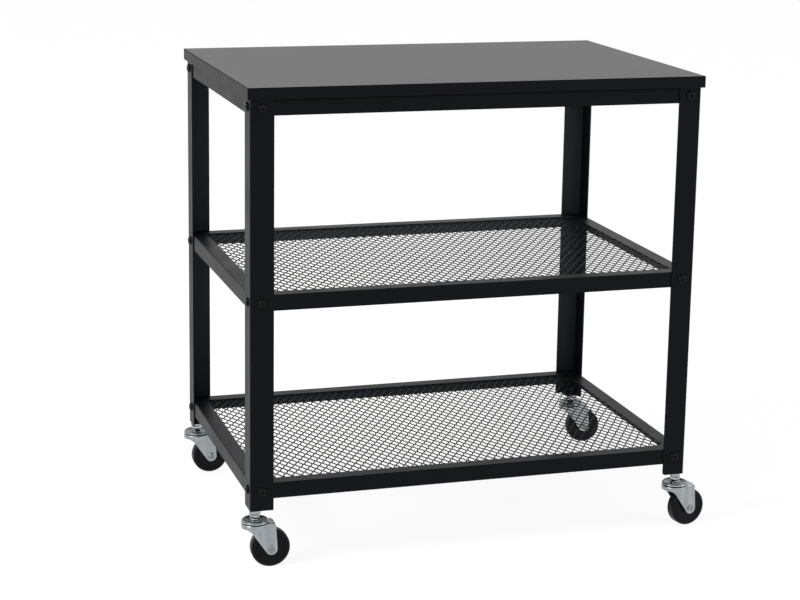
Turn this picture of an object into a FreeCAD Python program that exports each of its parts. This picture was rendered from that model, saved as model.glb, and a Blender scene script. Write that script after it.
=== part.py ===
import FreeCAD, Part
import os
from math import acos, atan2, cos, hypot, pi, radians, sin, sqrt

# Three-tier kitchen cart on four swivel casters. Millimetres, +Z up, +X to the right seen
# from the front, +Y to the back. The origin is on the floor under the middle of the whole
# cart, wheels included. The pieces are made about the middle of the board and moved there
# when they are saved.

# Board
board_width = 600.0
board_depth = 400.0
board_thickness = 15.0
board_edge_round = 0.8
board_overhang = 4.0

# Legs: one bent sheet angle, turned by a quarter turn from corner to corner
leg_length = 520.0
leg_flange = 30.0
leg_sheet = 1.5
leg_bend_radius = 2.0
leg_toe_radius = 3.5

# Foot plates in the lower ends of the legs, each with a threaded collar for the stem
foot_plate_side = 20.0
foot_plate_thickness = 3.0
foot_plate_corner_radius = 6.0
foot_collar_wall = 1.8
foot_collar_height = 5.0
foot_collar_clearance = 0.65

# Rails: bent sheet angles, flange on top, mitred at the corners
rail_height = 20.0
rail_flange = 20.0
rail_sheet = 1.5
rail_bend_radius = 2.0
rail_mitre_gap = 0.1
bottom_tier_height = 35.0
tier_pitch = 242.5

# Mesh sheets under the rail flanges. Each modelled gap stands for a patch of real gaps
# that is mesh_grouping gaps long each way, so the sheet keeps its proportions.
mesh_sheet = 1.2
mesh_side_clearance = 2.0
mesh_border = 6.0
mesh_gap_width = 12.0
mesh_gap_depth = 20.0
mesh_strand = 1.2
mesh_grouping = 2.75

# Frame screws and nuts
screw_diameter = 6.0
screw_hole_clearance = 0.3
screw_tip_gap = 1.0
screw_head_diameter = 11.5
screw_head_height = 3.2
screw_head_edge = 0.7
screw_head_flat = 5.6
screw_socket_flats = 4.0
screw_socket_depth = 1.8
nut_flats = 10.0
nut_height = 5.0
nut_gap = 2.0
thread_clearance = 0.05

# Board screws, from below through the top rails
board_screw_diameter = 4.0
board_screw_length = 12.0
board_screw_head_diameter = 8.0
board_screw_head_height = 2.6
board_screw_corner_distance = 120.0
board_screw_hole_clearance = 0.3
board_screw_pilot_spare = 0.5

# Wheels
wheel_diameter = 50.0
wheel_width = 17.0
wheel_shoulder = 4.0
wheel_recess_depth = 1.0
wheel_recess_slope = 1.0
wheel_rim_width = 6.0
wheel_hub_wall = 5.5
wheel_side_clearance = 0.3

# Axles: rivets through the forks
axle_diameter = 6.0
axle_running_clearance = 0.08
axle_seat_clearance = 0.05
axle_head_diameter = 9.0
axle_head_height = 1.5
axle_head_dimple_radius = 1.5
axle_head_dimple_depth = 0.7

# Forks
caster_trail = 19.0
fork_sheet = 2.0
fork_side_gap = 1.5
fork_head_radius = 17.5
fork_head_over_wheel = 6.6
fork_head_end_corner = 6.0
fork_neck_radius = 5.0
fork_bend_radius = 2.0
fork_skirt_height = 6.0
fork_leaf_end_radius = 7.6
fork_leaf_lean = 2.0
fork_throat_drop = 7.6
fork_throat_back = 4.0

# Swivels: king pin, ball race, upper dish and retaining washer
king_pin_diameter = 8.0
king_pin_head_diameter = 12.0
king_pin_head_height = 1.6
swivel_running_clearance = 0.08
ball_diameter = 3.0
ball_count = 22
ball_clearance = 0.1
ball_sink = 0.3
race_lip = 0.2
dish_sheet = 1.5
retainer_sheet = 1.5
retainer_clearance = 0.3
retainer_side_clearance = 0.5

# Stems above the dish: flange, neck, hexagon base, thread and lock nut
stem_flange_diameter = 13.2
stem_flange_height = 3.2
stem_neck_diameter = 10.0
stem_neck_height = 1.7
stem_hex_flats = 12.0
stem_hex_height = 3.0
stem_diameter = 8.0
stem_nut_gap = 0.8
stem_past_collar = 2.0
stem_end_chamfer = 0.8
lock_nut_flats = 13.0
lock_nut_height = 5.0

# Directions in which the casters trail, in degrees from +X towards +Y
caster_turns = {
    "front_left": -2.0,
    "front_right": 11.0,
    "back_left": 2.0,
    "back_right": -5.0,
}

# Corners of the frame: sign along X, sign along Y and turn of the leg
corners = {
    "front_left": (-1, -1, 0.0),
    "front_right": (1, -1, 90.0),
    "back_right": (1, 1, 180.0),
    "back_left": (-1, 1, 270.0),
}

# Caster heights, from the floor up
axle_height = wheel_diameter / 2
crown_underside = wheel_diameter + fork_head_over_wheel
crown_top = crown_underside + fork_sheet
skirt_bottom = crown_top - fork_skirt_height
ball_height = crown_top - ball_sink + ball_diameter / 2
dish_floor_top = ball_height + dish_sheet
hex_bottom = dish_floor_top + stem_flange_height + stem_neck_height
hex_top = hex_bottom + stem_hex_height
nut_bottom = hex_top + stem_nut_gap
retainer_top = crown_underside - retainer_clearance
retainer_bottom = retainer_top - retainer_sheet

# Frame heights
leg_bottom = nut_bottom + lock_nut_height
leg_top = leg_bottom + leg_length
collar_top = leg_bottom + foot_plate_thickness + foot_collar_height
rail_tops = {
    "bottom": leg_bottom + bottom_tier_height,
    "middle": leg_bottom + bottom_tier_height + tier_pitch,
    "top": leg_top,
}

# Frame screws, from the leg's corner: two cross in each corner, and clear each other
screw_inset = leg_sheet + rail_sheet + nut_height + nut_gap + nut_flats / 2
screw_length = screw_inset - screw_diameter / 2 - screw_tip_gap

# Caster stem, from the leg's corner: its collar clears both flanges
foot_collar_radius = stem_diameter / 2 + thread_clearance + foot_collar_wall
stem_inset = leg_sheet + foot_collar_clearance + foot_collar_radius

# Faces of the frame, from its centre lines
leg_face_x = board_width / 2 - board_overhang
leg_face_y = board_depth / 2 - board_overhang
rail_face_x = leg_face_x - leg_sheet
rail_face_y = leg_face_y - leg_sheet
mesh_edge_x = rail_face_x - rail_sheet - mesh_side_clearance
mesh_edge_y = rail_face_y - rail_sheet - mesh_side_clearance

# Fork and race places, from the swivel axis or the wheel's middle
fork_inner = wheel_width / 2 + fork_side_gap
fork_outer = fork_inner + fork_sheet
fork_head_end = caster_trail + fork_leaf_end_radius - fork_leaf_lean
race_radius = ball_diameter / 2 + ball_clearance
ball_circle = fork_head_radius - dish_sheet - race_radius


def wheel_reach(turn):
    # How far the rounded edge of a wheel lies past its stem along X
    tread = caster_trail + wheel_diameter / 2 - wheel_shoulder
    flank = wheel_width / 2 - wheel_shoulder
    angle = radians(turn)
    return tread * cos(angle) + flank * abs(sin(angle)) + wheel_shoulder


# Middle of the whole cart along X, from the middle of the board
stem_x = leg_face_x - stem_inset
stem_y = leg_face_y - stem_inset
right_turns = [turn for corner, turn in caster_turns.items() if corners[corner][0] > 0]
cart_left = max(board_width / 2, stem_x + fork_head_radius)
cart_right = max(board_width / 2, stem_x + max(wheel_reach(turn) for turn in right_turns))
cart_middle = (cart_right - cart_left) / 2

Vector = FreeCAD.Vector
origin = Vector(0, 0, 0)
x_axis = Vector(1, 0, 0)
y_axis = Vector(0, 1, 0)
z_axis = Vector(0, 0, 1)
cut_spare = 1.0


def box(x_low, x_high, y_low, y_high, z_low, z_high):
    corner = Vector(x_low, y_low, z_low)
    return Part.makeBox(x_high - x_low, y_high - y_low, z_high - z_low, corner)


def rod(radius, start, end):
    along = end.sub(start)
    return Part.makeCylinder(radius, along.Length, start, along)


def upright(radius, z_low, z_high, x=0.0, y=0.0):
    return rod(radius, Vector(x, y, z_low), Vector(x, y, z_high))


def prism(points, along):
    loop = [Vector(*point) for point in points]
    face = Part.Face(Part.makePolygon(loop + [loop[0]]))
    return face.extrude(along)


def hexagon(flats, z_low, z_high):
    reach = flats / sqrt(3)
    points = []
    for index in range(6):
        angle = radians(60 * index)
        points.append((reach * cos(angle), reach * sin(angle), z_low))
    return prism(points, Vector(0, 0, z_high - z_low))


def revolved(start, steps):
    # Turns a closed profile of (radius, height) points about the Z axis. A step is the
    # next point, or a pair: a point on an arc and the arc's end.
    edges = []
    last = Vector(start[0], 0, start[1])
    for step in steps + [start]:
        if isinstance(step[0], tuple):
            middle = Vector(step[0][0], 0, step[0][1])
            end = Vector(step[1][0], 0, step[1][1])
            edges.append(Part.Arc(last, middle, end).toShape())
        else:
            end = Vector(step[0], 0, step[1])
            edges.append(Part.makeLine(last, end))
        last = end
    return Part.Face(Part.Wire(edges)).revolve(origin, z_axis, 360)


def turned(shape, angle):
    copy = shape.copy()
    copy.rotate(origin, z_axis, angle)
    return copy


def moved(shape, x=0.0, y=0.0, z=0.0):
    copy = shape.copy()
    copy.translate(Vector(x, y, z))
    return copy


def save(shape, name):
    moved(shape, x=-cart_middle).exportStep(os.path.join("parts", name + ".step"))


def laid_along(shape, direction, place):
    # Turns a piece made along +Z so that its +Z points along direction, and moves it
    copy = shape.copy()
    copy.Placement = FreeCAD.Placement(place, FreeCAD.Rotation(z_axis, direction))
    return copy


def rounded(shape, radius, wanted):
    edges = [edge for edge in shape.Edges if wanted(edge)]
    return shape.makeFillet(radius, edges)


def runs_along(edge, axis):
    if len(edge.Vertexes) != 2:
        return False
    along = edge.Vertexes[1].Point.sub(edge.Vertexes[0].Point)
    return abs(along.normalize().dot(axis)) > 0.999


def frame_screw_places():
    # Each frame screw: point on the leg's outer face, and the direction into the frame
    places = []
    along_x = leg_face_x - screw_inset
    along_y = leg_face_y - screw_inset
    for x_sign, y_sign, turn in corners.values():
        for top in rail_tops.values():
            height = top - rail_height / 2
            on_face = Vector(x_sign * along_x, y_sign * leg_face_y, height)
            on_side = Vector(x_sign * leg_face_x, y_sign * along_y, height)
            places.append((on_face, Vector(0, -y_sign, 0)))
            places.append((on_side, Vector(-x_sign, 0, 0)))
    return places


def frame_screw_holes():
    radius = screw_diameter / 2 + screw_hole_clearance
    holes = []
    for place, inward in frame_screw_places():
        start = place - inward * cut_spare
        end = place + inward * (leg_sheet + rail_sheet + cut_spare)
        holes.append(rod(radius, start, end))
    return Part.makeCompound(holes)


def board_screw_places():
    inset = rail_flange / 2
    along_x = rail_face_x - board_screw_corner_distance
    along_y = rail_face_y - board_screw_corner_distance
    places = []
    for side in (-1, 1):
        for end in (-1, 1):
            places.append((end * along_x, side * (rail_face_y - inset)))
            places.append((side * (rail_face_x - inset), end * along_y))
    return places


def board_screw_bores(clearance, z_low, z_high):
    radius = board_screw_diameter / 2 + clearance
    bores = [upright(radius, z_low, z_high, x, y) for x, y in board_screw_places()]
    return Part.makeCompound(bores)


def stem_place(corner):
    x_sign, y_sign, turn = corners[corner]
    return (x_sign * stem_x, y_sign * stem_y)


def in_corner(shape, corner):
    # Puts a piece made for the front left corner, outer faces at X = 0 and Y = 0, in place
    x_sign, y_sign, turn = corners[corner]
    return moved(turned(shape, turn), x_sign * leg_face_x, y_sign * leg_face_y, leg_bottom)


def make_board():
    half_x = board_width / 2
    half_y = board_depth / 2
    board = box(-half_x, half_x, -half_y, half_y, leg_top, leg_top + board_thickness)
    board = board.makeFillet(board_edge_round, board.Edges)
    pilot_depth = board_screw_length - rail_sheet + board_screw_pilot_spare
    pilots = board_screw_bores(thread_clearance, leg_top - cut_spare, leg_top + pilot_depth)
    return board.cut(pilots)


def make_leg():
    outline = [
        (0, 0, 0),
        (leg_flange, 0, 0),
        (leg_flange, leg_sheet, 0),
        (leg_sheet, leg_sheet, 0),
        (leg_sheet, leg_flange, 0),
        (0, leg_flange, 0),
    ]
    leg = prism(outline, Vector(0, 0, leg_length))

    def is_outer_bend(edge):
        middle = edge.CenterOfMass
        return runs_along(edge, z_axis) and hypot(middle.x, middle.y) < 1e-6

    def is_toe(edge):
        middle = edge.CenterOfMass
        at_end = middle.z < 1e-6 and middle.y > leg_flange - 1e-6
        return runs_along(edge, x_axis) and at_end

    leg = rounded(leg, leg_bend_radius, is_outer_bend)
    return rounded(leg, leg_toe_radius, is_toe)


def make_foot_plate():
    low = leg_sheet
    high = leg_sheet + foot_plate_side
    plate = box(low, high, low, high, 0, foot_plate_thickness)

    def is_free_corner(edge):
        middle = edge.CenterOfMass
        return runs_along(edge, z_axis) and min(middle.x, middle.y) > high - 1e-6

    plate = rounded(plate, foot_plate_corner_radius, is_free_corner)
    bore = stem_diameter / 2 + thread_clearance
    height = foot_plate_thickness + foot_collar_height
    collar = upright(foot_collar_radius, 0, height, stem_inset, stem_inset)
    hole = upright(bore, -cut_spare, height + cut_spare, stem_inset, stem_inset)
    return plate.fuse(collar).removeSplitter().cut(hole)


def make_rail(half):
    # Rail along X, outer face at Y = 0, top at Z = 0, inward along +Y, both ends mitred
    outline = [
        (-half, 0, 0),
        (-half, rail_flange, 0),
        (-half, rail_flange, -rail_sheet),
        (-half, rail_sheet, -rail_sheet),
        (-half, rail_sheet, -rail_height),
        (-half, 0, -rail_height),
    ]
    rail = prism(outline, Vector(2 * half, 0, 0))

    def is_outer_bend(edge):
        middle = edge.CenterOfMass
        return runs_along(edge, x_axis) and hypot(middle.y, middle.z) < 1e-6

    rail = rounded(rail, rail_bend_radius, is_outer_bend)
    reach = rail_flange + cut_spare
    end = half - rail_mitre_gap
    bottom = -rail_height - cut_spare
    for side in (-1, 1):
        wedge = [
            (side * (end + cut_spare), -cut_spare, bottom),
            (side * (end + 2 * cut_spare), -cut_spare, bottom),
            (side * (end + 2 * cut_spare), reach, bottom),
            (side * (end - reach), reach, bottom),
        ]
        rail = rail.cut(prism(wedge, Vector(0, 0, rail_height + 2 * cut_spare)))
    return rail


def make_rails():
    long_rail = make_rail(rail_face_x)
    short_rail = make_rail(rail_face_y)
    sides = {
        "front": moved(long_rail, 0, -rail_face_y),
        "right": moved(turned(short_rail, 90), rail_face_x, 0),
        "back": moved(turned(long_rail, 180), 0, rail_face_y),
        "left": moved(turned(short_rail, 270), -rail_face_x, 0),
    }
    holes = frame_screw_holes()
    flange_bores = board_screw_bores(
        board_screw_hole_clearance, leg_top - rail_sheet - cut_spare, leg_top + cut_spare
    )
    rails = {}
    for tier, top in rail_tops.items():
        for side, part in sides.items():
            rail = moved(part, z=top).cut(holes)
            if tier == "top":
                rail = rail.cut(flange_bores)
            rails[tier + "_rail_" + side] = rail
    return rails


def rectangle(half_x, half_y):
    loop = [
        Vector(-half_x, -half_y, 0),
        Vector(half_x, -half_y, 0),
        Vector(half_x, half_y, 0),
        Vector(-half_x, half_y, 0),
    ]
    return Part.Face(Part.makePolygon(loop + [loop[0]]))


def diamond(x, y, half_x, half_y):
    loop = [
        Vector(x - half_x, y, 0),
        Vector(x, y - half_y, 0),
        Vector(x + half_x, y, 0),
        Vector(x, y + half_y, 0),
    ]
    return Part.Face(Part.makePolygon(loop + [loop[0]]))


def make_mesh():
    # Flat sheet with its top at Z = 0: one face with staggered diamond gaps, cut off along
    # a plain border, and made thick
    half_x = mesh_gap_width * mesh_grouping / 2
    half_y = mesh_gap_depth * mesh_grouping / 2
    strand = mesh_strand * mesh_grouping
    open_share = 1 - strand * hypot(half_x, half_y) / (2 * half_x * half_y)
    open_x = mesh_edge_x - mesh_border
    open_y = mesh_edge_y - mesh_border
    last_column = int((open_x + half_x * open_share) / half_x)
    last_row = int((open_y + half_y * open_share) / half_y)
    gaps = []
    for column in range(-last_column, last_column + 1):
        for row in range(-last_row, last_row + 1):
            if (column + row) % 2 == 0:
                x = column * half_x
                y = row * half_y
                gaps.append(diamond(x, y, half_x * open_share, half_y * open_share))
    open_area = Part.makeCompound(gaps).common(rectangle(open_x, open_y))
    net = rectangle(mesh_edge_x, mesh_edge_y).cut(open_area)
    return net.Faces[0].extrude(Vector(0, 0, -mesh_sheet))


def make_frame_screw():
    # Dome head above Z = 0 with a hexagon socket, shank below
    shank = screw_diameter / 2
    head = screw_head_diameter / 2
    flat = screw_head_flat / 2
    dome = screw_head_height - screw_head_edge
    on_dome = (flat + (head - flat) * cos(pi / 4), screw_head_edge + dome * sin(pi / 4))
    screw = revolved(
        (0, -screw_length),
        [
            (shank, -screw_length),
            (shank, 0),
            (head, 0),
            (head, screw_head_edge),
            (on_dome, (flat, screw_head_height)),
            (0, screw_head_height),
        ],
    )
    floor = screw_head_height - screw_socket_depth
    socket = hexagon(screw_socket_flats, floor, screw_head_height + cut_spare)
    return screw.cut(socket)


def make_nut(flats, height, bore_radius):
    nut = hexagon(flats, 0, height)
    return nut.cut(upright(bore_radius, -cut_spare, height + cut_spare))


def make_board_screw():
    # Shank upward from Z = 0 with a pointed end, pan head below
    shank = board_screw_diameter / 2
    head = board_screw_head_diameter / 2
    tip = board_screw_length - board_screw_diameter
    return revolved(
        (0, -board_screw_head_height),
        [
            (head / 2, -board_screw_head_height),
            (head, -board_screw_head_height / 2),
            (head, 0),
            (shank, 0),
            (shank, tip),
            (0, board_screw_length),
        ],
    )


def make_frame_screws():
    screw = make_frame_screw()
    placed = [laid_along(screw, inward * -1, place) for place, inward in frame_screw_places()]
    return Part.makeCompound(placed)


def make_frame_nuts():
    nut = make_nut(nut_flats, nut_height, screw_diameter / 2 + thread_clearance)
    placed = []
    for place, inward in frame_screw_places():
        seat = place + inward * (leg_sheet + rail_sheet)
        placed.append(laid_along(nut, inward, seat))
    return Part.makeCompound(placed)


def make_board_screws():
    screw = make_board_screw()
    flange_underside = leg_top - rail_sheet
    placed = [moved(screw, x, y, flange_underside) for x, y in board_screw_places()]
    return Part.makeCompound(placed)


def make_lock_nuts():
    nut = make_nut(lock_nut_flats, lock_nut_height, stem_diameter / 2 + thread_clearance)
    placed = []
    for corner in corners:
        x, y = stem_place(corner)
        placed.append(moved(nut, x, y, nut_bottom))
    return Part.makeCompound(placed)


def make_stem():
    # King pin with its riveted head, flange, neck, hexagon base and threaded end
    pin = king_pin_diameter / 2
    rivet = king_pin_head_diameter / 2
    flange = stem_flange_diameter / 2
    neck = stem_neck_diameter / 2
    thread = stem_diameter / 2
    neck_bottom = dish_floor_top + stem_flange_height
    top = collar_top + stem_past_collar
    rivet_bottom = retainer_bottom - king_pin_head_height
    turned_part = revolved(
        (0, rivet_bottom),
        [
            (rivet / 2, rivet_bottom),
            (rivet, retainer_bottom),
            (pin, retainer_bottom),
            (pin, dish_floor_top),
            (flange, dish_floor_top),
            (flange, neck_bottom - stem_end_chamfer),
            (flange - stem_end_chamfer, neck_bottom),
            (neck, neck_bottom),
            (neck, hex_bottom),
            (thread, hex_bottom),
            (thread, top - stem_end_chamfer),
            (thread - stem_end_chamfer, top),
            (0, top),
        ],
    )
    return turned_part.fuse(hexagon(stem_hex_flats, hex_bottom, hex_top)).removeSplitter()


def make_dish():
    # Pressed plate riveted to the stem; its rim is the upper race and bulges over the balls
    bore = king_pin_diameter / 2 + thread_clearance
    inner_race = ball_circle - race_radius
    outer_race = ball_circle + race_radius
    rim = race_radius + dish_sheet
    rim_meets_floor = ball_circle - sqrt(rim ** 2 - dish_sheet ** 2)
    lip = ball_height - race_lip
    return revolved(
        (bore, ball_height),
        [
            (inner_race, ball_height),
            ((ball_circle, ball_height + race_radius), (outer_race, ball_height)),
            (outer_race, lip),
            (ball_circle + rim, lip),
            (ball_circle + rim, ball_height),
            ((ball_circle, ball_height + rim), (rim_meets_floor, dish_floor_top)),
            (bore, dish_floor_top),
        ],
    )


def make_balls():
    ball = Part.makeSphere(ball_diameter / 2)
    placed = []
    for index in range(ball_count):
        angle = 2 * pi * index / ball_count
        x = ball_circle * cos(angle)
        y = ball_circle * sin(angle)
        placed.append(moved(ball, x, y, ball_height))
    return Part.makeCompound(placed)


def make_retainer():
    bore = king_pin_diameter / 2 + thread_clearance
    washer = upright(fork_inner - retainer_side_clearance, retainer_bottom, retainer_top)
    return washer.cut(upright(bore, retainer_bottom - cut_spare, retainer_top + cut_spare))


def make_head(inset, z_low, z_high):
    # Round head over the swivel axis, run out over the wheel, its outline moved in by inset
    radius = fork_head_radius - inset
    half_width = fork_outer - inset
    end = fork_head_end - inset
    neck_x = sqrt(radius ** 2 - half_width ** 2)
    head = upright(radius, z_low, z_high)
    head = head.fuse(box(0, end, -half_width, half_width, z_low, z_high)).removeSplitter()

    def is_neck(edge):
        return runs_along(edge, z_axis) and abs(edge.CenterOfMass.x - neck_x) < 1e-6

    def is_end_corner(edge):
        return runs_along(edge, z_axis) and edge.CenterOfMass.x > end - 1e-6

    head = rounded(head, fork_neck_radius + inset, is_neck)
    return rounded(head, fork_head_end_corner - inset, is_end_corner)


def tangent_angle(x, z, side):
    # Angle at which the straight edge from (x, z) meets the leaf's round end
    reach_x = x - caster_trail
    reach_z = z - axle_height
    spread = acos(fork_leaf_end_radius / hypot(reach_x, reach_z))
    return atan2(reach_z, reach_x) + side * spread


def on_leaf_end(angle):
    x = caster_trail + fork_leaf_end_radius * cos(angle)
    z = axle_height + fork_leaf_end_radius * sin(angle)
    return Vector(x, 0, z)


def make_leaf():
    # Side plate of the fork in the plane Y = 0: upright rear edge, round end at the axle,
    # slanted front edge that flares through a hollow arc into the head's skirt
    front_top_x = -sqrt(fork_head_radius ** 2 - fork_outer ** 2)
    throat = Vector(-fork_throat_back, 0, skirt_bottom - fork_throat_drop)
    rear_top = Vector(fork_head_end, 0, crown_underside)
    front_top = Vector(front_top_x, 0, crown_underside)
    flare = Vector(front_top_x, 0, skirt_bottom)
    rear_angle = tangent_angle(rear_top.x, rear_top.z, -1)
    front_angle = tangent_angle(throat.x, throat.z, 1)
    rear_end = on_leaf_end(rear_angle)
    front_end = on_leaf_end(front_angle)
    lowest = on_leaf_end((rear_angle + front_angle) / 2 + pi)
    slant = (front_end - throat).normalize()
    outward = Vector(slant.z, 0, -slant.x)
    chord = flare - throat
    hollow = chord.dot(chord) / (2 * outward.dot(chord))
    centre = throat + outward * hollow
    between = (flare - centre) + (throat - centre)
    on_hollow = centre + between.normalize() * abs(hollow)
    edges = [
        Part.makeLine(front_top, rear_top),
        Part.makeLine(rear_top, rear_end),
        Part.Arc(rear_end, lowest, front_end).toShape(),
        Part.makeLine(front_end, throat),
        Part.Arc(throat, on_hollow, flare).toShape(),
        Part.makeLine(flare, front_top),
    ]
    return Part.Face(Part.Wire(edges)).extrude(Vector(0, fork_sheet, 0))


def make_fork():
    head = make_head(0, skirt_bottom, crown_top)

    def is_top(edge):
        return edge.BoundBox.ZMin > crown_top - 1e-6

    head = rounded(head, fork_bend_radius, is_top)
    head = head.cut(make_head(fork_sheet, skirt_bottom - cut_spare, crown_underside))
    leaf = make_leaf()
    fork = head.fuse([moved(leaf, y=fork_inner), moved(leaf, y=-fork_outer)]).removeSplitter()
    race = Part.makeTorus(ball_circle, race_radius, Vector(0, 0, ball_height))
    pin_bore = king_pin_diameter / 2 + swivel_running_clearance
    pin_hole = upright(pin_bore, skirt_bottom, crown_top + cut_spare)
    axle_bore = axle_diameter / 2 + axle_seat_clearance
    axle_start = Vector(caster_trail, -fork_outer - cut_spare, axle_height)
    axle_end = Vector(caster_trail, fork_outer + cut_spare, axle_height)
    return fork.cut([race, pin_hole, rod(axle_bore, axle_start, axle_end)])


def across_wheel(shape):
    # Lays a piece made about the Z axis along the axle, at the wheel's centre
    return laid_along(shape, y_axis, Vector(caster_trail, 0, axle_height))


def make_axle():
    shank = axle_diameter / 2
    head = axle_head_diameter / 2
    end = fork_outer + axle_head_height
    dimple = axle_head_dimple_radius
    shoulder = head - (head - shank) / 2
    axle = revolved(
        (0, -end),
        [
            (shoulder, -end),
            (head, -end + axle_head_height / 2),
            (head, -fork_outer),
            (shank, -fork_outer),
            (shank, fork_outer),
            (head, fork_outer),
            (head, end - axle_head_height / 2),
            (shoulder, end),
            (0, end),
        ],
    )
    for side in (-1, 1):
        face = Vector(0, 0, side * end)
        floor = Vector(0, 0, side * (end - axle_head_dimple_depth))
        axle = axle.cut(rod(dimple, floor, face * 2 - floor))
    return across_wheel(axle)


def make_wheel():
    bore = axle_diameter / 2 + axle_running_clearance
    hub = bore + wheel_hub_wall
    radius = wheel_diameter / 2
    half = wheel_width / 2
    hub_end = fork_inner - wheel_side_clearance
    web = half - wheel_recess_depth
    recess = radius - wheel_rim_width
    shoulder = wheel_shoulder
    turn_in = shoulder * (1 - cos(pi / 4))
    corner = radius - turn_in
    return across_wheel(revolved(
        (bore, -hub_end),
        [
            (hub, -hub_end),
            (hub, -web),
            (recess - wheel_recess_slope, -web),
            (recess, -half),
            (radius - shoulder, -half),
            ((corner, -half + turn_in), (radius, -half + shoulder)),
            (radius, half - shoulder),
            ((corner, half - turn_in), (radius - shoulder, half)),
            (recess, half),
            (recess - wheel_recess_slope, web),
            (hub, web),
            (hub, hub_end),
            (bore, hub_end),
        ],
    ))


def write_frame():
    save(make_board(), "top_board")
    leg = make_leg()
    foot_plate = make_foot_plate()
    holes = frame_screw_holes()
    for corner in corners:
        save(in_corner(leg, corner).cut(holes), "leg_" + corner)
        save(in_corner(foot_plate, corner), "foot_plate_" + corner)
    for name, rail in make_rails().items():
        save(rail, name)
    mesh = make_mesh()
    for tier in ("bottom", "middle"):
        save(moved(mesh, z=rail_tops[tier] - rail_sheet), tier + "_mesh")
    save(make_frame_screws(), "frame_screws")
    save(make_frame_nuts(), "frame_nuts")
    save(make_board_screws(), "board_screws")
    save(make_lock_nuts(), "caster_lock_nuts")


def write_casters():
    pieces = {
        "caster_stem": make_stem(),
        "caster_dish": make_dish(),
        "caster_balls": make_balls(),
        "caster_retainer": make_retainer(),
        "caster_fork": make_fork(),
        "caster_axle": make_axle(),
        "caster_wheel": make_wheel(),
    }
    for corner, turn in caster_turns.items():
        x, y = stem_place(corner)
        for name, piece in pieces.items():
            save(moved(turned(piece, turn), x, y), name + "_" + corner)


os.makedirs("parts", exist_ok=True)
write_frame()
write_casters()
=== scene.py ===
import math

import bmesh
import bpy
from mathutils import Matrix, Vector


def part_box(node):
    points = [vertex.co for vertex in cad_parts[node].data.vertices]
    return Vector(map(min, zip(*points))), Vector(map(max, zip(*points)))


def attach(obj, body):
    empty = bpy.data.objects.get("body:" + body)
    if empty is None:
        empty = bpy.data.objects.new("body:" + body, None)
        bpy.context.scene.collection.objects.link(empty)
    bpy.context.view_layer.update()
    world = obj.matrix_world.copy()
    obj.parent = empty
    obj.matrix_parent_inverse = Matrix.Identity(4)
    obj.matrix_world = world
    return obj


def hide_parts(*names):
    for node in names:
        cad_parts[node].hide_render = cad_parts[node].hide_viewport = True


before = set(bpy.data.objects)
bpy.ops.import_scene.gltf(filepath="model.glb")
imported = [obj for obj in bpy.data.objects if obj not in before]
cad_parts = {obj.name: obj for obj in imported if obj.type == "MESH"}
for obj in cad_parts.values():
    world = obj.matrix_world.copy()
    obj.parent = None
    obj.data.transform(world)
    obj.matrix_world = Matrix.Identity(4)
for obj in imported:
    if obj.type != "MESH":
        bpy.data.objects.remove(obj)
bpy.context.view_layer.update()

bl_info = {
    "name": "Kitchen Cart",
    "version": (1, 0, 0),
    "blender": (4, 5, 0),
    "location": "View3D > Sidebar > Cart",
    "description": "Gives the packed kitchen cart its finishes, shelf mesh and studio",
    "category": "Object",
}

CORNERS = ("front_left", "front_right", "back_left", "back_right")
TIERS = ("bottom", "middle", "top")
SIDES = ("front", "back", "left", "right")
BOARD_LOW, BOARD_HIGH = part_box("top_board")
BOARD_MIDDLE_X = (BOARD_LOW.x + BOARD_HIGH.x) / 2


class CartFinishes(bpy.types.PropertyGroup):
    # The top's colour is lighter than the edge band's, partly as its own tone and partly as painted
    # sheen
    laminate_and_sheen: bpy.props.FloatVectorProperty(
        name="Laminate", description="Colour of the board's top", subtype="COLOR",
        default=(0.083, 0.083, 0.084), min=0, max=1)
    band: bpy.props.FloatVectorProperty(
        name="Edge band", description="Colour of the board's edges", subtype="COLOR",
        default=(0.002, 0.0024, 0.0042), min=0, max=1)
    coat: bpy.props.FloatVectorProperty(
        name="Powder coat", description="Colour of legs, rails and shelf mesh",
        subtype="COLOR", default=(0.0016, 0.0022, 0.0042), min=0, max=1)
    oxide: bpy.props.FloatVectorProperty(
        name="Screw black", description="Colour of the frame screws and their nuts", subtype="COLOR",
        default=(0.002, 0.0022, 0.003), min=0, max=1)
    zinc: bpy.props.FloatVectorProperty(
        name="Zinc", description="Colour of the plated forks, lock nuts and board screws",
        subtype="COLOR", default=(0.31, 0.335, 0.355), min=0, max=1)
    turned_zinc: bpy.props.FloatVectorProperty(
        name="Turned zinc", description="Colour of the plated stems, dishes, washers and rivets",
        subtype="COLOR", default=(0.15, 0.165, 0.165), min=0, max=1)
    wheel: bpy.props.FloatVectorProperty(
        name="Wheel", description="Colour of the moulded wheels", subtype="COLOR",
        default=(0.0028, 0.0030, 0.0045), min=0, max=1)


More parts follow.
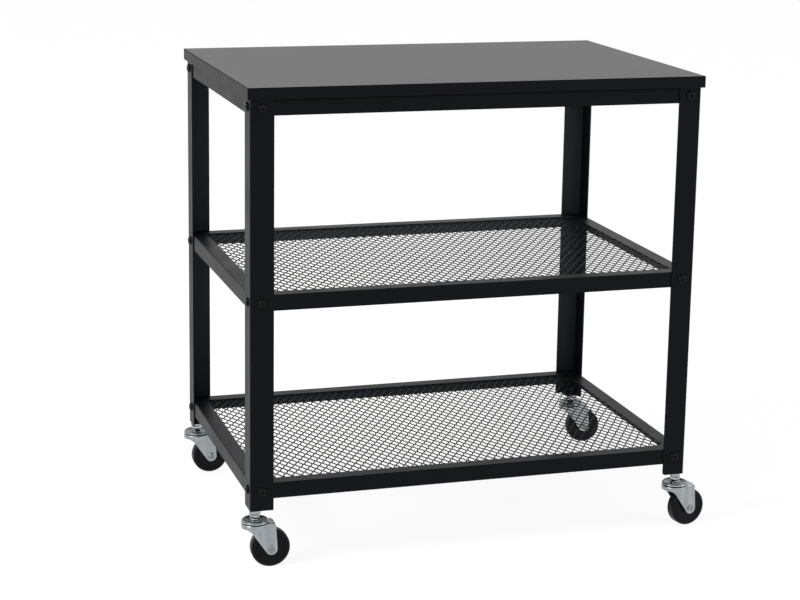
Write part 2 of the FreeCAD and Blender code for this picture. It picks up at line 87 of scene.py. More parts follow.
class CartShelfMesh(bpy.types.PropertyGroup):
    gap_width: bpy.props.FloatProperty(
        name="Gap width", description="Pitch of the diamonds across the cart",
        default=0.0121, min=0.004, max=0.06, unit="LENGTH")
    gap_depth: bpy.props.FloatProperty(
        name="Gap depth", description="Pitch of the diamonds from front to back",
        default=0.0204, min=0.004, max=0.1, unit="LENGTH")
    strand_width: bpy.props.FloatProperty(
        name="Strand width", description="Width of a strand, measured across the cart",
        default=0.00175, min=0.0004, max=0.005, unit="LENGTH")
    strand_thickness: bpy.props.FloatProperty(
        name="Strand thickness", description="Gauge of the slit sheet",
        default=0.00075, min=0.0002, max=0.003, unit="LENGTH")
    bond_length: bpy.props.FloatProperty(
        name="Bond length", description="Length over which two strands stay joined",
        default=0.0015, min=0.0, max=0.01, unit="LENGTH")
    tilt: bpy.props.FloatProperty(
        name="Tilt", description="Lean of the strands out of the sheet's plane",
        default=math.radians(5), min=math.radians(-60), max=math.radians(60),
        subtype="ANGLE")
    middle_turn: bpy.props.FloatProperty(
        name="Middle turn", description="How far the pattern of the middle shelf is cut askew",
        default=math.radians(-2.6), subtype="ANGLE")
    bottom_turn: bpy.props.FloatProperty(
        name="Bottom turn", description="How far the pattern of the bottom shelf is cut askew",
        default=math.radians(-1.7), subtype="ANGLE")
    sag: bpy.props.FloatProperty(
        name="Sag", description="How far the middle of a shelf hangs under its edges",
        default=0.002, min=0, max=0.01, unit="LENGTH")


class CartStudio(bpy.types.PropertyGroup):
    camera_x: bpy.props.FloatProperty(
        name="Camera X", description="Camera place from the middle of the board",
        default=-0.81931, unit="LENGTH")
    camera_y: bpy.props.FloatProperty(
        name="Camera Y", description="Camera place along the depth",
        default=-2.50597, unit="LENGTH")
    camera_z: bpy.props.FloatProperty(
        name="Camera Z", description="Camera height over the floor",
        default=0.94292, unit="LENGTH")
    camera_turn: bpy.props.FloatProperty(
        name="Camera turn", description="Turn to the right from straight ahead",
        default=0.29963, subtype="ANGLE")
    camera_dip: bpy.props.FloatProperty(
        name="Camera dip", description="Tilt below the horizon",
        default=0.21025, subtype="ANGLE")
    camera_roll: bpy.props.FloatProperty(
        name="Camera roll", description="Roll about the line of sight",
        default=0.01579, subtype="ANGLE")
    focal_pixels: bpy.props.FloatProperty(
        name="Focal length", description="Focal length in pixels of an 800 pixel frame",
        default=1990.32)
    axis_row: bpy.props.FloatProperty(
        name="Axis row", description="Pixel row of the line of sight, out of 600",
        default=230.0)
    room_level: bpy.props.FloatProperty(
        name="Room level", description="Strength of the room's even light",
        default=0.55, min=0)
    key_level: bpy.props.FloatProperty(
        name="Key level", description="Power of the high lamp at the left, in watts",
        default=42.0, min=0)
    fill_level: bpy.props.FloatProperty(
        name="Fill level", description="Power of the low lamp at the right, in watts",
        default=8.0, min=0)
    inner_level: bpy.props.FloatProperty(
        name="Inner level", description="Power of the lamp between the legs, in watts",
        default=4.5, min=0)


# Node building

def place(tree, kind, inputs=None, **settings):
    """Adds a node, sets its options, then its inputs from values or other sockets."""
    node = tree.nodes.new(kind)
    for name, value in settings.items():
        setattr(node, name, value)
    for key, value in (inputs or {}).items():
        socket = node.inputs[key]
        if isinstance(value, bpy.types.NodeSocket):
            tree.links.new(value, socket)
        else:
            socket.default_value = value
    return node


def maths(tree, operation, a, b=0.0, c=0.0):
    node = place(tree, "ShaderNodeMath", {0: a, 1: b, 2: c}, operation=operation)
    return node.outputs[0]


def blend(tree, factor, a, b):
    node = place(tree, "ShaderNodeMix", {0: factor, 6: a, 7: b}, data_type="RGBA")
    return node.outputs[2]


def shade_range(tree, value, low, high, out_low=0.0, out_high=1.0):
    node = place(tree, "ShaderNodeMapRange", {0: value, 1: low, 2: high, 3: out_low, 4: out_high})
    return node.outputs[0]


def new_group(name, inputs, outputs):
    """A shader group; inputs and outputs are (name, socket kind, default)."""
    group = bpy.data.node_groups.new(name, "ShaderNodeTree")
    for label, kind, default in inputs:
        socket = group.interface.new_socket(label, in_out="INPUT", socket_type=kind)
        if default is not None:
            socket.default_value = default
    for label, kind in outputs:
        group.interface.new_socket(label, in_out="OUTPUT", socket_type=kind)
    return group, group.nodes.new("NodeGroupInput"), group.nodes.new("NodeGroupOutput")


def noise(tree, vector, scale, detail=2.0, rough=0.5):
    node = place(tree, "ShaderNodeTexNoise",
                 {"Vector": vector, "Scale": scale, "Detail": detail, "Roughness": rough})
    return node.outputs["Fac"]


def make_grain_group():
    """Orange peel and mottling of a sprayed or moulded skin."""
    group, given, out = new_group(
        "Skin Grain",
        [("Vector", "NodeSocketVector", None), ("Grain Scale", "NodeSocketFloat", 900.0),
         ("Mottle Scale", "NodeSocketFloat", 18.0)],
        [("Height", "NodeSocketFloat"), ("Mottle", "NodeSocketFloat"),
         ("Speck", "NodeSocketFloat")])
    fine_ratio, fine_share = 3.1, 0.35
    mottle_low, mottle_high = 0.3, 0.7
    speck_low, speck_high = 0.62, 0.72
    vector = given.outputs["Vector"]
    peel = noise(group, vector, given.outputs["Grain Scale"], detail=1.5)
    fine_scale = maths(group, "MULTIPLY", given.outputs["Grain Scale"], fine_ratio)
    fine = noise(group, vector, fine_scale, detail=1.0)
    height = maths(group, "MULTIPLY_ADD", fine, fine_share, peel)
    mottle = noise(group, vector, given.outputs["Mottle Scale"], detail=3.0, rough=0.6)
    mottle = shade_range(group, mottle, mottle_low, mottle_high)
    group.links.new(height, out.inputs["Height"])
    group.links.new(mottle, out.inputs["Mottle"])
    group.links.new(shade_range(group, fine, speck_low, speck_high), out.inputs["Speck"])
    return group


def make_plating_group():
    """Clouding, upright streaks and fine draw lines of plated pressed steel."""
    group, given, out = new_group(
        "Plating",
        [("Vector", "NodeSocketVector", None), ("Cloud Scale", "NodeSocketFloat", 160.0),
         ("Line Scale", "NodeSocketFloat", 700.0)],
        [("Cloud", "NodeSocketFloat"), ("Lines", "NodeSocketFloat"),
         ("Streaks", "NodeSocketFloat"), ("Height", "NodeSocketFloat")])
    upright_scale = (1.0, 1.0, 0.08)
    cloud_low, cloud_high = 0.32, 0.68
    streak_low, streak_high = 0.45, 0.62
    line_share = 0.6
    vector = given.outputs["Vector"]
    cloud = noise(group, vector, given.outputs["Cloud Scale"], detail=4.0, rough=0.65)
    upright = place(group, "ShaderNodeMapping", {"Vector": vector, "Scale": upright_scale}).outputs[0]
    lines = noise(group, upright, given.outputs["Line Scale"], detail=2.0, rough=0.6)
    broad = noise(group, upright, given.outputs["Cloud Scale"], detail=1.0)
    crystal = place(group, "ShaderNodeTexVoronoi",
                    {"Vector": vector, "Scale": given.outputs["Line Scale"]})
    height = maths(group, "MULTIPLY_ADD", lines, line_share, crystal.outputs["Distance"])
    group.links.new(shade_range(group, cloud, cloud_low, cloud_high), out.inputs["Cloud"])
    group.links.new(lines, out.inputs["Lines"])
    group.links.new(shade_range(group, broad, streak_low, streak_high), out.inputs["Streaks"])
    group.links.new(height, out.inputs["Height"])
    return group


def add_shared(tree, coords, name, maker, values):
    """A shared group in a material, with the material's own values. The maker builds it once."""
    group = bpy.data.node_groups.get(name) or maker()
    node = place(tree, "ShaderNodeGroup", node_tree=group)
    tree.links.new(coords, node.inputs["Vector"])
    for label, value in values.items():
        node.inputs[label].default_value = value
    return node


def start_material(name):
    material = bpy.data.materials.new(name)
    material.use_nodes = True
    tree = material.node_tree
    tree.nodes.clear()
    output = tree.nodes.new("ShaderNodeOutputMaterial")
    shader = tree.nodes.new("ShaderNodeBsdfPrincipled")
    tree.links.new(shader.outputs[0], output.inputs[0])
    coords = tree.nodes.new("ShaderNodeTexCoord").outputs["Object"]
    return material, tree, shader, coords


def lit(colour, gain):
    """A colour made lighter or darker, with full alpha."""
    return tuple(min(1.0, channel * gain) for channel in colour) + (1.0,)


def add_bump(tree, shader, height, depth):
    bump = place(tree, "ShaderNodeBump", {"Height": height, "Distance": depth, "Strength": 1.0})
    tree.links.new(bump.outputs[0], shader.inputs["Normal"])


def coated(name, colour, roughness, grain_scale, grain_depth, specular, spread=0.04):
    """Sprayed or moulded skin with grain, mottled gloss and a slight change of shade."""
    dark, light = 0.92, 1.08
    speck_share, speck_light = 0.4, 1.8
    material, tree, shader, coords = start_material(name)
    skin = add_shared(tree, coords, "Skin Grain", make_grain_group, {"Grain Scale": grain_scale})
    tone = blend(tree, skin.outputs["Mottle"], lit(colour, dark), lit(colour, light))
    specks = maths(tree, "MULTIPLY", skin.outputs["Speck"], speck_share)
    tone = blend(tree, specks, tone, lit(colour, speck_light))
    tree.links.new(tone, shader.inputs["Base Color"])
    gloss = shade_range(tree, skin.outputs["Mottle"], 0, 1, roughness - spread, roughness + spread)
    tree.links.new(gloss, shader.inputs["Roughness"])
    shader.inputs["Specular IOR Level"].default_value = specular
    add_bump(tree, shader, skin.outputs["Height"], grain_depth)
    return material, tree, shader, coords, tone


STEM_INPUTS = [
    ("Vector", "NodeSocketVector", None), ("Middle X", "NodeSocketFloat", 0.0),
    ("Stem X", "NodeSocketFloat", 0.288), ("Stem Y", "NodeSocketFloat", 0.188)]


def about_stem(group, given):
    """Height and radius about the nearest stem. The four stems stand at the same distance
    from the middle of the board, so one fold serves them all."""
    spot = place(group, "ShaderNodeSeparateXYZ", {0: given.outputs["Vector"]})
    from_middle = maths(group, "SUBTRACT", spot.outputs["X"], given.outputs["Middle X"])
    sides = []
    for value, stem in ((from_middle, "Stem X"), (spot.outputs["Y"], "Stem Y")):
        folded = maths(group, "ABSOLUTE", value)
        sides.append(maths(group, "SUBTRACT", folded, given.outputs[stem]))
    flat = place(group, "ShaderNodeCombineXYZ", {"X": sides[0], "Y": sides[1]})
    radius = place(group, "ShaderNodeVectorMath", {0: flat.outputs[0]}, operation="LENGTH")
    return spot.outputs["Z"], radius.outputs["Value"]


def make_painted_shade_group():
    """Painted shade between two heights, out to a radius about the stem."""
    group, given, out = new_group(
        "Race Painted Shade",
        STEM_INPUTS + [("Low", "NodeSocketFloat", 0.058), ("High", "NodeSocketFloat", 0.06),
                       ("Reach", "NodeSocketFloat", 0.0173)],
        [("Painted Shade", "NodeSocketFloat")])
    height, radius = about_stem(group, given)
    above = maths(group, "GREATER_THAN", height, given.outputs["Low"])
    below = maths(group, "LESS_THAN", height, given.outputs["High"])
    inside = maths(group, "LESS_THAN", radius, given.outputs["Reach"])
    between = maths(group, "MULTIPLY", maths(group, "MULTIPLY", above, below), inside)
    # The painted shade is stronger in some patches than in others
    patch_scale, faint_noise, deep_noise, faintest = 420.0, 0.2, 0.6, 0.7
    patches = noise(group, given.outputs["Vector"], patch_scale)
    patches = shade_range(group, patches, faint_noise, deep_noise, faintest, 1.0)
    group.links.new(maths(group, "MULTIPLY", between, patches), out.inputs["Painted Shade"])
    return group


def make_ring_group():
    """Rings pressed about the nearest stem and the groove round the dish's rim, with painted shade in
    their low parts and a painted highlight on the rim and the shank.
    """
    group, given, out = new_group(
        "Pressed Rings",
        STEM_INPUTS + [("Pitch", "NodeSocketFloat", 0.0036),
                       ("Groove Height", "NodeSocketFloat", 0.06)],
        [("Groove", "NodeSocketFloat"), ("Bright", "NodeSocketFloat"),
         ("Height", "NodeSocketFloat")])
    shank_radius, rings_begin, rings_full, rim_radius = 0.0072, 0.0075, 0.0085, 0.0160
    groove_edge, groove_bed = 0.0005, 0.0002
    shading_starts, shading_full = -0.2, -0.9
    height, radius = about_stem(group, given)
    turn = maths(group, "DIVIDE", radius, given.outputs["Pitch"])
    wave = maths(group, "SINE", maths(group, "MULTIPLY", turn, 2 * math.pi))
    pressed = maths(group, "MULTIPLY", wave, shade_range(group, radius, rings_begin, rings_full))
    on_rim = maths(group, "GREATER_THAN", radius, rim_radius)
    pressed = maths(group, "MULTIPLY", pressed, maths(group, "SUBTRACT", 1.0, on_rim))
    drop = maths(group, "SUBTRACT", height, given.outputs["Groove Height"])
    near = shade_range(group, maths(group, "ABSOLUTE", drop), groove_edge, groove_bed)
    rim_groove = maths(group, "MULTIPLY", near, on_rim)
    low_part = shade_range(group, pressed, shading_starts, shading_full)
    # Painted shade in the low part of the rings and in the rim's groove
    group.links.new(maths(group, "MAXIMUM", low_part, rim_groove), out.inputs["Groove"])
    # Painted highlight on the dish's rim and on the stem's shank
    on_shank = maths(group, "LESS_THAN", radius, shank_radius)
    group.links.new(maths(group, "MAXIMUM", on_rim, on_shank), out.inputs["Bright"])
    group.links.new(maths(group, "SUBTRACT", pressed, rim_groove), out.inputs["Height"])
    return group


def plated(name, colour, roughness, rings=None, painted_shade=()):
    """Plated steel. Rings holds the inputs of Pressed Rings, and painted_shade a list with the
    inputs of Race Painted Shade for each band of painted shade."""
    dark, light, streak_light = 0.92, 1.07, 1.16
    # Gains of the painted highlight, of the painted shade in grooves and of the bands of painted shade
    highlight_gain, painted_groove_shade, painted_shade_dark = 3.0, 0.15, 0.02
    ring_height, bump_depth = 30.0, 0.000008
    polished, dulled, line_gloss = 0.04, 0.05, 0.08
    material, tree, shader, coords = start_material(name)
    plating = add_shared(tree, coords, "Plating", make_plating_group, {})
    tone = blend(tree, plating.outputs["Cloud"], lit(colour, dark), lit(colour, light))
    tone = blend(tree, plating.outputs["Streaks"], tone, lit(colour, streak_light))
    height = plating.outputs["Height"]
    if rings:
        pressed = add_shared(tree, coords, "Pressed Rings", make_ring_group, rings)
        # Painted highlight on the dish's rim and the stem's shank
        tone = blend(tree, pressed.outputs["Bright"], tone, lit(colour, highlight_gain))
        # Painted shade in the low part of the rings and in the rim's groove
        tone = blend(tree, pressed.outputs["Groove"], tone, lit(colour, painted_groove_shade))
        height = maths(tree, "MULTIPLY_ADD", pressed.outputs["Height"], ring_height, height)
    # Each band darkens the colour as painted shade
    for band in painted_shade:
        shade_band_mask = add_shared(tree, coords, "Race Painted Shade", make_painted_shade_group, band)
        tone = blend(tree, shade_band_mask.outputs["Painted Shade"], tone, lit(colour, painted_shade_dark))
    tree.links.new(tone, shader.inputs["Base Color"])
    smooth, rough = roughness - polished, roughness + dulled
    gloss = shade_range(tree, plating.outputs["Cloud"], 0, 1, smooth, rough)
    gloss = maths(tree, "MULTIPLY_ADD", plating.outputs["Lines"], line_gloss, gloss)
    tree.links.new(gloss, shader.inputs["Roughness"])
    shader.inputs["Metallic"].default_value = 1.0
    add_bump(tree, shader, height, bump_depth)
    return material


def repaint(material, *nodes):
    """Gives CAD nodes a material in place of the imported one."""
    for name in nodes:
        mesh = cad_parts[name].data
        if not mesh.materials:
            mesh.materials.append(material)
        for index in range(len(mesh.materials)):
            mesh.materials[index] = material


# Board, frame, screws and casters

class CART_OT_board(bpy.types.Operator):
    """Give the board its laminated top, lighter than the edge band partly by painted sheen, and the
    joint of its edge band
    """
    bl_idname = "cart.board"
    bl_label = "Finish Board"

    def execute(self, context):
        finish = context.scene.cart_finishes
        laminate_sheet, joint_drop, joint_half = 0.0003, 0.0005, 0.0004
        material, tree, shader, coords, tone = coated(
            "Laminate Black", finish.laminate_and_sheen, roughness=0.42, grain_scale=2600.0,
            grain_depth=0.000012, specular=0.1, spread=0.015)
        height = place(tree, "ShaderNodeSeparateXYZ", {0: coords}).outputs["Z"]
        # The top takes that lighter colour, partly its own tone and partly painted sheen
        on_top = maths(tree, "GREATER_THAN", height, BOARD_HIGH.z - laminate_sheet)
        tone = blend(tree, on_top, lit(finish.band, 1.0), tone)
        joint = maths(tree, "COMPARE", height, BOARD_HIGH.z - joint_drop, joint_half)
        tone = blend(tree, joint, tone, lit(finish.band, 0.3))
        tree.links.new(tone, shader.inputs["Base Color"])
        gloss = shader.inputs["Roughness"].links[0].from_socket
        tree.links.new(maths(tree, "MAXIMUM", gloss, joint), shader.inputs["Roughness"])
        repaint(material, "top_board")
        return {"FINISHED"}


class CART_OT_frame(bpy.types.Operator):
    """Powder-coat the legs, foot plates and rails"""
    bl_idname = "cart.frame"
    bl_label = "Finish Frame"

    def execute(self, context):
        coat = context.scene.cart_finishes.coat
        material = coated("Powder Black", coat, roughness=0.42, grain_scale=850.0,
                          grain_depth=0.00002, specular=0.1)[0]
        for corner in CORNERS:
            repaint(material, "leg_" + corner, "foot_plate_" + corner)
        for tier in TIERS:
            for side in SIDES:
                repaint(material, f"{tier}_rail_{side}")
        return {"FINISHED"}


class CART_OT_screws(bpy.types.Operator):
    """Blacken the frame screws and their nuts"""
    bl_idname = "cart.screws"
    bl_label = "Finish Screws"

    def execute(self, context):
        finish = context.scene.cart_finishes
        oxide = coated("Black Oxide", finish.oxide, roughness=0.13, grain_scale=1800.0,
                       grain_depth=0.000004, specular=0.14, spread=0.03)[0]
        repaint(oxide, "frame_screws", "frame_nuts")
        return {"FINISHED"}


class CART_OT_casters(bpy.types.Operator):
    """Plate the casters and give the wheels their moulded skin"""
    bl_idname = "cart.casters"
    bl_label = "Finish Casters"

    def execute(self, context):
        finish = context.scene.cart_finishes
        low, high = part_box("caster_dish_front_right")
        stem = (low + high) / 2
        stems = {"Middle X": BOARD_MIDDLE_X, "Stem X": stem.x - BOARD_MIDDLE_X, "Stem Y": abs(stem.y)}
        crown_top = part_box("caster_fork_front_right")[1].z
        nut_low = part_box("caster_lock_nuts")[0].z
        # Bands of painted shade: in the open race, in the gap of thread under the nut, and on the stem's
        # neck
        crown_overlap, rim_shadow, rim_reach = 0.0001, 0.0006, 0.02
        thread_gap, thread_overlap = 0.0010, 0.0003
        neck_bottom, neck_top = 0.0056, 0.0036
        race = {**stems, "Low": crown_top - crown_overlap, "High": low.z + rim_shadow}
        race_and_rim = {**race, "Reach": rim_reach}
        thread = {**stems, "Low": nut_low - thread_gap, "High": nut_low + thread_overlap}
        neck = {**stems, "Low": nut_low - neck_bottom, "High": nut_low - neck_top}
        groove_rise, ring_pitch = 0.0022, 0.005
        rings = {**stems, "Groove Height": low.z + groove_rise, "Pitch": ring_pitch}
        nut_colour = lit(finish.zinc, 1.05)[:3]
        rivet_colour = lit(finish.turned_zinc, 1.5)[:3]
        steel_colour = (0.5, 0.5, 0.5)
        forks = plated("Zinc Fork", finish.zinc, roughness=0.26, painted_shade=[race])
        nuts = plated("Zinc Nut", nut_colour, roughness=0.12, painted_shade=[thread])
        zinc = plated("Zinc Plate", finish.zinc, roughness=0.26)
        turned = plated("Zinc Turned", finish.turned_zinc, roughness=0.14, rings=rings,
                        painted_shade=[race_and_rim, thread, neck])
        steel = plated("Ball Steel", steel_colour, roughness=0.15, painted_shade=[race_and_rim])
        wheel = coated("Wheel Black", finish.wheel, roughness=0.38, grain_scale=1400.0,
                       grain_depth=0.000015, specular=0.12)[0]
        rivet = plated("Zinc Rivet", rivet_colour, roughness=0.24)
        repaint(nuts, "caster_lock_nuts")
        repaint(zinc, "board_screws")
        for corner in CORNERS:
            for part in ("stem", "dish", "retainer"):
                repaint(turned, f"caster_{part}_{corner}")
            repaint(rivet, "caster_axle_" + corner)
            repaint(forks, "caster_fork_" + corner)
            repaint(steel, "caster_balls_" + corner)
            repaint(wheel, "caster_wheel_" + corner)
        return {"FINISHED"}


# Shelf mesh

def strand_object(sizes, rising):
    """One strand across half a diamond, centred on it. A rising one goes from the right
    half of its lower bond to the left half of its upper bond; the other is its mirror."""
    half_x, half_y = sizes.gap_width / 2, sizes.gap_depth / 2
    lean = Vector((math.cos(sizes.tilt), 0, math.sin(sizes.tilt)))
    across = lean * sizes.strand_width / 2
    upright = Vector((-lean.z, 0, lean.x)) * sizes.strand_thickness / 2
    side = 1 if rising else -1
    low = Vector((-side * half_x / 2, -half_y / 2, 0)) + across * side
    high = Vector((side * half_x / 2, half_y / 2, 0)) - across * side
    bond = Vector((0, sizes.bond_length / 2, 0))
    shape = bmesh.new()
    rings = []
    for centre in (low, low + bond, high - bond, high):
        corners = (-across - upright, across - upright, across + upright, -across + upright)
        rings.append([shape.verts.new(centre + corner) for corner in corners])
    for first, second in zip(rings, rings[1:]):
        for k in range(4):
            n = (k + 1) % 4
            shape.faces.new((first[k], first[n], second[n], second[k]))
    bmesh.ops.recalc_face_normals(shape, faces=shape.faces)
    mesh = bpy.data.meshes.new("strand")
    shape.to_mesh(mesh)
    shape.free()
    # The open tube has no inside, so the sense of its faces is set from its top side
    if sum(p.normal.z * (p.center.z - (low.z + high.z) / 2) for p in mesh.polygons) < 0:
        mesh.flip_normals()
    strand = bpy.data.objects.new("strand", mesh)
    bpy.context.scene.collection.objects.link(strand)
    return strand


def make_shelf_tree():
    """Strands on a grid of half diamonds, mirrored from one to the next, then the whole
    sheet turned and sagged."""
    tree = bpy.data.node_groups.new("Expanded Mesh", "GeometryNodeTree")
    wanted = [
        ("Rising Strand", "NodeSocketObject"), ("Falling Strand", "NodeSocketObject"),
        ("Half Width", "NodeSocketFloat"), ("Half Depth", "NodeSocketFloat"),
        ("Columns", "NodeSocketInt"), ("Rows", "NodeSocketInt"),
        ("Turn", "NodeSocketFloat"), ("Sheet Width", "NodeSocketFloat"),
        ("Sheet Depth", "NodeSocketFloat"), ("Sag", "NodeSocketFloat"),
        ("Centre", "NodeSocketVector"), ("Material", "NodeSocketMaterial")]
    for name, kind in wanted:
        tree.interface.new_socket(name, in_out="INPUT", socket_type=kind)
    tree.interface.new_socket("Geometry", in_out="OUTPUT", socket_type="NodeSocketGeometry")
    given = tree.nodes.new("NodeGroupInput").outputs
    out = tree.nodes.new("NodeGroupOutput")
    size_x = maths(tree, "MULTIPLY", maths(tree, "SUBTRACT", given["Columns"], 1), given["Half Width"])
    size_y = maths(tree, "MULTIPLY", maths(tree, "SUBTRACT", given["Rows"], 1), given["Half Depth"])
    grid = place(tree, "GeometryNodeMeshGrid", {
        "Size X": size_x, "Size Y": size_y,
        "Vertices X": given["Columns"], "Vertices Y": given["Rows"]})
    grid_position = tree.nodes.new("GeometryNodeInputPosition").outputs[0]
    spot = place(tree, "ShaderNodeSeparateXYZ", {0: grid_position})
    from_left = maths(tree, "MULTIPLY_ADD", size_x, 0.5, spot.outputs["X"])
    from_front = maths(tree, "MULTIPLY_ADD", size_y, 0.5, spot.outputs["Y"])
    column = maths(tree, "ROUND", maths(tree, "DIVIDE", from_left, given["Half Width"]))
    row = maths(tree, "ROUND", maths(tree, "DIVIDE", from_front, given["Half Depth"]))
    odd = maths(tree, "FLOORED_MODULO", maths(tree, "ADD", column, row), 2.0)
    even = maths(tree, "SUBTRACT", 1.0, odd)
    joined = tree.nodes.new("GeometryNodeJoinGeometry")
    for chosen, strand in ((even, "Rising Strand"), (odd, "Falling Strand")):
        shape = place(tree, "GeometryNodeObjectInfo", {"Object": given[strand]})
        laid = place(tree, "GeometryNodeInstanceOnPoints", {
            "Points": grid.outputs["Mesh"], "Selection": chosen,
            "Instance": shape.outputs["Geometry"]})
        tree.links.new(laid.outputs[0], joined.inputs[0])
    real = place(tree, "GeometryNodeRealizeInstances", {0: joined.outputs[0]})
    position = tree.nodes.new("GeometryNodeInputPosition").outputs[0]
    askew = place(tree, "ShaderNodeVectorRotate", {"Vector": position, "Angle": given["Turn"]},
                  rotation_type="Z_AXIS")
    laid_out = place(tree, "GeometryNodeSetPosition", {0: real.outputs[0], "Position": askew.outputs[0]})
    where = place(tree, "ShaderNodeSeparateXYZ", {0: position})
    dips = []
    for axis, size in (("X", "Sheet Width"), ("Y", "Sheet Depth")):
        share = maths(tree, "DIVIDE", where.outputs[axis], given[size])
        dip = maths(tree, "COSINE", maths(tree, "MULTIPLY", share, math.pi))
        dips.append(maths(tree, "MAXIMUM", dip, 0.0))
    drop = maths(tree, "MULTIPLY", maths(tree, "MULTIPLY", *dips), given["Sag"])
    offset = place(tree, "ShaderNodeCombineXYZ", {"Z": maths(tree, "MULTIPLY", drop, -1.0)})
    moved = place(tree, "ShaderNodeVectorMath", {0: offset.outputs[0], 1: given["Centre"]},
                  operation="ADD")
    hung = place(tree, "GeometryNodeSetPosition", {0: laid_out.outputs[0], "Offset": moved.outputs[0]})
    painted = place(tree, "GeometryNodeSetMaterial", {0: hung.outputs[0], "Material": given["Material"]})
    tree.links.new(painted.outputs[0], out.inputs[0])
    return tree


def make_real(thing, tree, values):
    """Runs a tree on an object, keeps the plain mesh and drops the modifier."""
    modifier = thing.modifiers.new(tree.name, "NODES")
    modifier.node_group = tree
    sockets = {s.name: s.identifier for s in tree.interface.items_tree
               if s.item_type == "SOCKET" and s.in_out == "INPUT"}
    for name, value in values.items():
        modifier[sockets[name]] = value
    bpy.context.view_layer.update()
    graph = bpy.context.evaluated_depsgraph_get()
    mesh = bpy.data.meshes.new_from_object(thing.evaluated_get(graph), depsgraph=graph)
    thing.modifiers.remove(modifier)
    thing.data = mesh


class CART_OT_shelves(bpy.types.Operator):
    """Stretch the expanded mesh of the two shelves over their rails"""
    bl_idname = "cart.shelves"
    bl_label = "Make Shelf Mesh"

    def execute(self, context):
        sizes = context.scene.cart_shelf_mesh
        coat = context.scene.cart_finishes.coat
        weld_distance = 0.00001
        material = coated("Powder Black Mesh", coat, roughness=0.5, grain_scale=1100.0,
                          grain_depth=0.00002, specular=0.06)[0]
        tree = make_shelf_tree()
        strands = [strand_object(sizes, rising) for rising in (True, False)]
        top_reach = (sizes.strand_width * abs(math.sin(sizes.tilt))
                     + sizes.strand_thickness / 2 * math.cos(sizes.tilt))
        for tier in ("bottom", "middle"):
            low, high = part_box(tier + "_mesh")
            middle = (low + high) / 2
            width, depth = high.x - low.x, high.y - low.y
            turn = getattr(sizes, tier + "_turn")
            spare = abs(math.sin(turn))
            columns = 2 * round((width + depth * spare) / sizes.gap_width) + 4
            rows = 2 * round((depth + width * spare) / sizes.gap_depth) + 4
            shelf = bpy.data.objects.new(f"shelf_mesh_{tier}", bpy.data.meshes.new("shelf"))
            context.scene.collection.objects.link(shelf)
            make_real(shelf, tree, {
                "Rising Strand": strands[0], "Falling Strand": strands[1],
                "Half Width": sizes.gap_width / 2, "Half Depth": sizes.gap_depth / 2,
                "Columns": columns, "Rows": rows, "Turn": turn,
                "Sheet Width": width, "Sheet Depth": depth, "Sag": sizes.sag,
                "Centre": (middle.x, middle.y, high.z - top_reach), "Material": material})
            shape = bmesh.new()
            shape.from_mesh(shelf.data)
            bmesh.ops.remove_doubles(shape, verts=shape.verts, dist=weld_distance)
            for corner, outward in ((low, Vector((-1, 0, 0))), (low, Vector((0, -1, 0))),
                                    (high, Vector((1, 0, 0))), (high, Vector((0, 1, 0)))):
                bmesh.ops.bisect_plane(
                    shape, geom=shape.verts[:] + shape.edges[:] + shape.faces[:],
                    plane_co=corner, plane_no=outward, clear_outer=True)
            bmesh.ops.holes_fill(shape, edges=[e for e in shape.edges if e.is_boundary], sides=8)
            shape.to_mesh(shelf.data)
            shape.free()
            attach(shelf, "cart")
            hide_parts(tier + "_mesh")
        for strand in strands:
            bpy.data.objects.remove(strand)
        return {"FINISHED"}


# Studio

def add_lamp(name, place_at, aim, size, power, colour=(1, 1, 1)):
    data = bpy.data.lights.new(name, "AREA")
    data.shape = "RECTANGLE"
    data.size, data.size_y = size
    data.energy = power
    data.color = colour
    lamp = bpy.data.objects.new(name, data)
    lamp.location = place_at
    lamp.visible_camera = False
    lamp.rotation_euler = (Vector(aim) - Vector(place_at)).to_track_quat("-Z", "Y").to_euler()
    bpy.context.scene.collection.objects.link(lamp)
    return lamp


def seen_directly(tree):
    """1 for rays from the camera and for rays reflected or let through by a surface."""
    path = tree.nodes.new("ShaderNodeLightPath")
    seen = maths(tree, "MAXIMUM", path.outputs["Is Camera Ray"], path.outputs["Is Glossy Ray"])
    return maths(tree, "MAXIMUM", seen, path.outputs["Is Transmission Ray"])


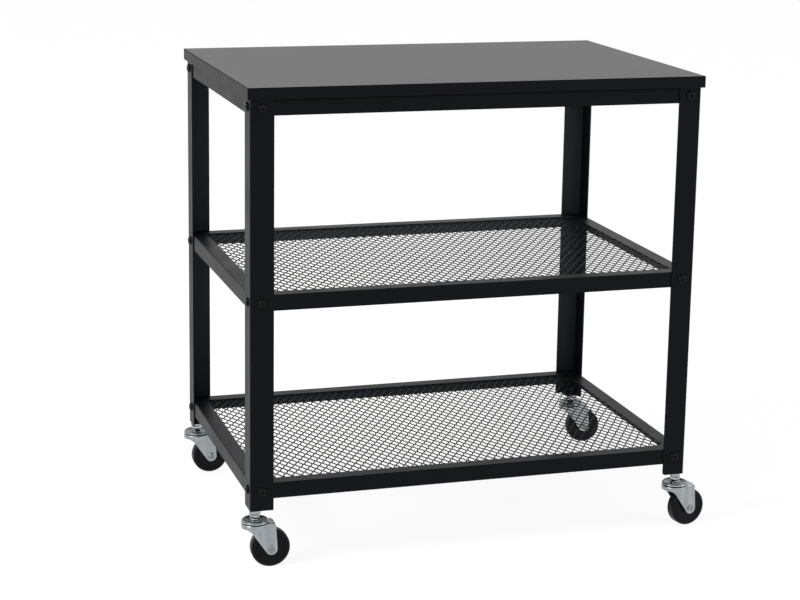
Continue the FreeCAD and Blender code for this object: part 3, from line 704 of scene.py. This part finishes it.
class CART_OT_stage(bpy.types.Operator):
    """Set up the floor, the white room, the lamps and the camera"""
    bl_idname = "cart.stage"
    bl_label = "Set Stage"

    def execute(self, context):
        scene = context.scene
        studio = scene.cart_studio
        scene.view_settings.view_transform = "Standard"
        self.add_room(scene, studio)
        self.add_floor(scene)
        self.add_camera(scene, studio)
        aim = (BOARD_MIDDLE_X, 0, 0.3)
        add_lamp("Key", (-2.4, -0.7, 2.2), aim, (1.0, 1.0), studio.key_level)
        add_lamp("Fill", (2.2, -1.4, 1.2), aim, (1.2, 1.2), studio.fill_level)
        # Lifts the inner faces of the back legs, and shows in no reflection
        inner_x, inner_z, warm = BOARD_MIDDLE_X + 0.04, 0.36, (1.0, 0.93, 0.66)
        inner = add_lamp("Inner", (inner_x, -0.15, inner_z), (inner_x, 1, inner_z),
                         (0.52, 0.46), studio.inner_level, warm)
        inner.visible_glossy = False
        inner.data.spread = math.radians(70)
        return {"FINISHED"}

    def add_room(self, scene, studio):
        world = bpy.data.worlds.new("Room")
        world.use_nodes = True
        tree = world.node_tree
        tree.nodes.clear()
        out = tree.nodes.new("ShaderNodeOutputWorld")
        white = (1, 1, 1, 1)
        even = place(tree, "ShaderNodeBackground", {"Color": white, "Strength": studio.room_level})
        shown = place(tree, "ShaderNodeBackground", {"Color": white, "Strength": 1.0})
        mix = place(tree, "ShaderNodeMixShader", {
            0: seen_directly(tree), 1: even.outputs[0], 2: shown.outputs[0]})
        tree.links.new(mix.outputs[0], out.inputs[0])
        scene.world = world

    def add_floor(self, scene):
        reach = 20.0
        shape = bmesh.new()
        bmesh.ops.create_grid(shape, x_segments=1, y_segments=1, size=reach)
        mesh = bpy.data.meshes.new("floor")
        shape.to_mesh(mesh)
        shape.free()
        floor = bpy.data.objects.new("floor", mesh)
        scene.collection.objects.link(floor)
        material = bpy.data.materials.new("Floor White")
        material.use_nodes = True
        tree = material.node_tree
        tree.nodes.clear()
        out = tree.nodes.new("ShaderNodeOutputMaterial")
        # Seen directly it glows almost white, so that only a faint shadow shows
        plain_grey, shadow_grey, glow_level = (0.8, 0.8, 0.8, 1), (0.2, 0.2, 0.2, 1), 0.88
        matt = place(tree, "ShaderNodeBsdfDiffuse", {"Color": plain_grey})
        pale = place(tree, "ShaderNodeBsdfDiffuse", {"Color": shadow_grey})
        glow = place(tree, "ShaderNodeEmission", {"Color": (1, 1, 1, 1), "Strength": glow_level})
        shown = place(tree, "ShaderNodeAddShader", {0: pale.outputs[0], 1: glow.outputs[0]})
        mix = place(tree, "ShaderNodeMixShader", {
            0: seen_directly(tree), 1: matt.outputs[0], 2: shown.outputs[0]})
        tree.links.new(mix.outputs[0], out.inputs[0])
        mesh.materials.append(material)

    def add_camera(self, scene, studio):
        frame_width, frame_height = 800, 600
        turn, dip, roll = studio.camera_turn, studio.camera_dip, studio.camera_roll
        ahead = Vector((math.sin(turn) * math.cos(dip), math.cos(turn) * math.cos(dip), -math.sin(dip)))
        right = Vector((math.cos(turn), -math.sin(turn), 0))
        up = right.cross(ahead)
        right_rolled = right * math.cos(roll) + up * math.sin(roll)
        up_rolled = up * math.cos(roll) - right * math.sin(roll)
        axes = Matrix((right_rolled, up_rolled, -ahead)).transposed()
        data = bpy.data.cameras.new("Camera")
        data.sensor_width = 36.0
        data.lens = studio.focal_pixels / frame_width * data.sensor_width
        data.shift_y = (studio.axis_row - frame_height / 2) / frame_width
        data.clip_end = 100.0
        camera = bpy.data.objects.new("Camera", data)
        spot = Vector((BOARD_MIDDLE_X + studio.camera_x, studio.camera_y, studio.camera_z))
        camera.matrix_world = Matrix.Translation(spot) @ axes.to_4x4()
        scene.collection.objects.link(camera)
        scene.camera = camera


class CART_PT_panel(bpy.types.Panel):
    """Lists the cart's pieces and their settings"""
    bl_label = "Kitchen Cart"
    bl_idname = "CART_PT_panel"
    bl_space_type = "VIEW_3D"
    bl_region_type = "UI"
    bl_category = "Cart"

    def draw(self, context):
        for operator in OPERATORS:
            self.layout.operator(operator.bl_idname)
        for group in ("cart_finishes", "cart_shelf_mesh", "cart_studio"):
            box = self.layout.box()
            settings = getattr(context.scene, group)
            for name in settings.bl_rna.properties.keys():
                if name not in ("rna_type", "name"):
                    box.prop(settings, name)


OPERATORS = (CART_OT_board, CART_OT_frame, CART_OT_screws, CART_OT_shelves,
             CART_OT_casters, CART_OT_stage)
CLASSES = (CartFinishes, CartShelfMesh, CartStudio) + OPERATORS + (CART_PT_panel,)


def register():
    for each in CLASSES:
        bpy.utils.register_class(each)
    bpy.types.Scene.cart_finishes = bpy.props.PointerProperty(type=CartFinishes)
    bpy.types.Scene.cart_shelf_mesh = bpy.props.PointerProperty(type=CartShelfMesh)
    bpy.types.Scene.cart_studio = bpy.props.PointerProperty(type=CartStudio)


def unregister():
    del bpy.types.Scene.cart_studio
    del bpy.types.Scene.cart_shelf_mesh
    del bpy.types.Scene.cart_finishes
    for each in reversed(CLASSES):
        bpy.utils.unregister_class(each)


def main():
    register()
    bpy.ops.cart.board()
    bpy.ops.cart.frame()
    bpy.ops.cart.screws()
    bpy.ops.cart.shelves()
    bpy.ops.cart.casters()
    bpy.ops.cart.stage()


if __name__ == "__main__":
    main()
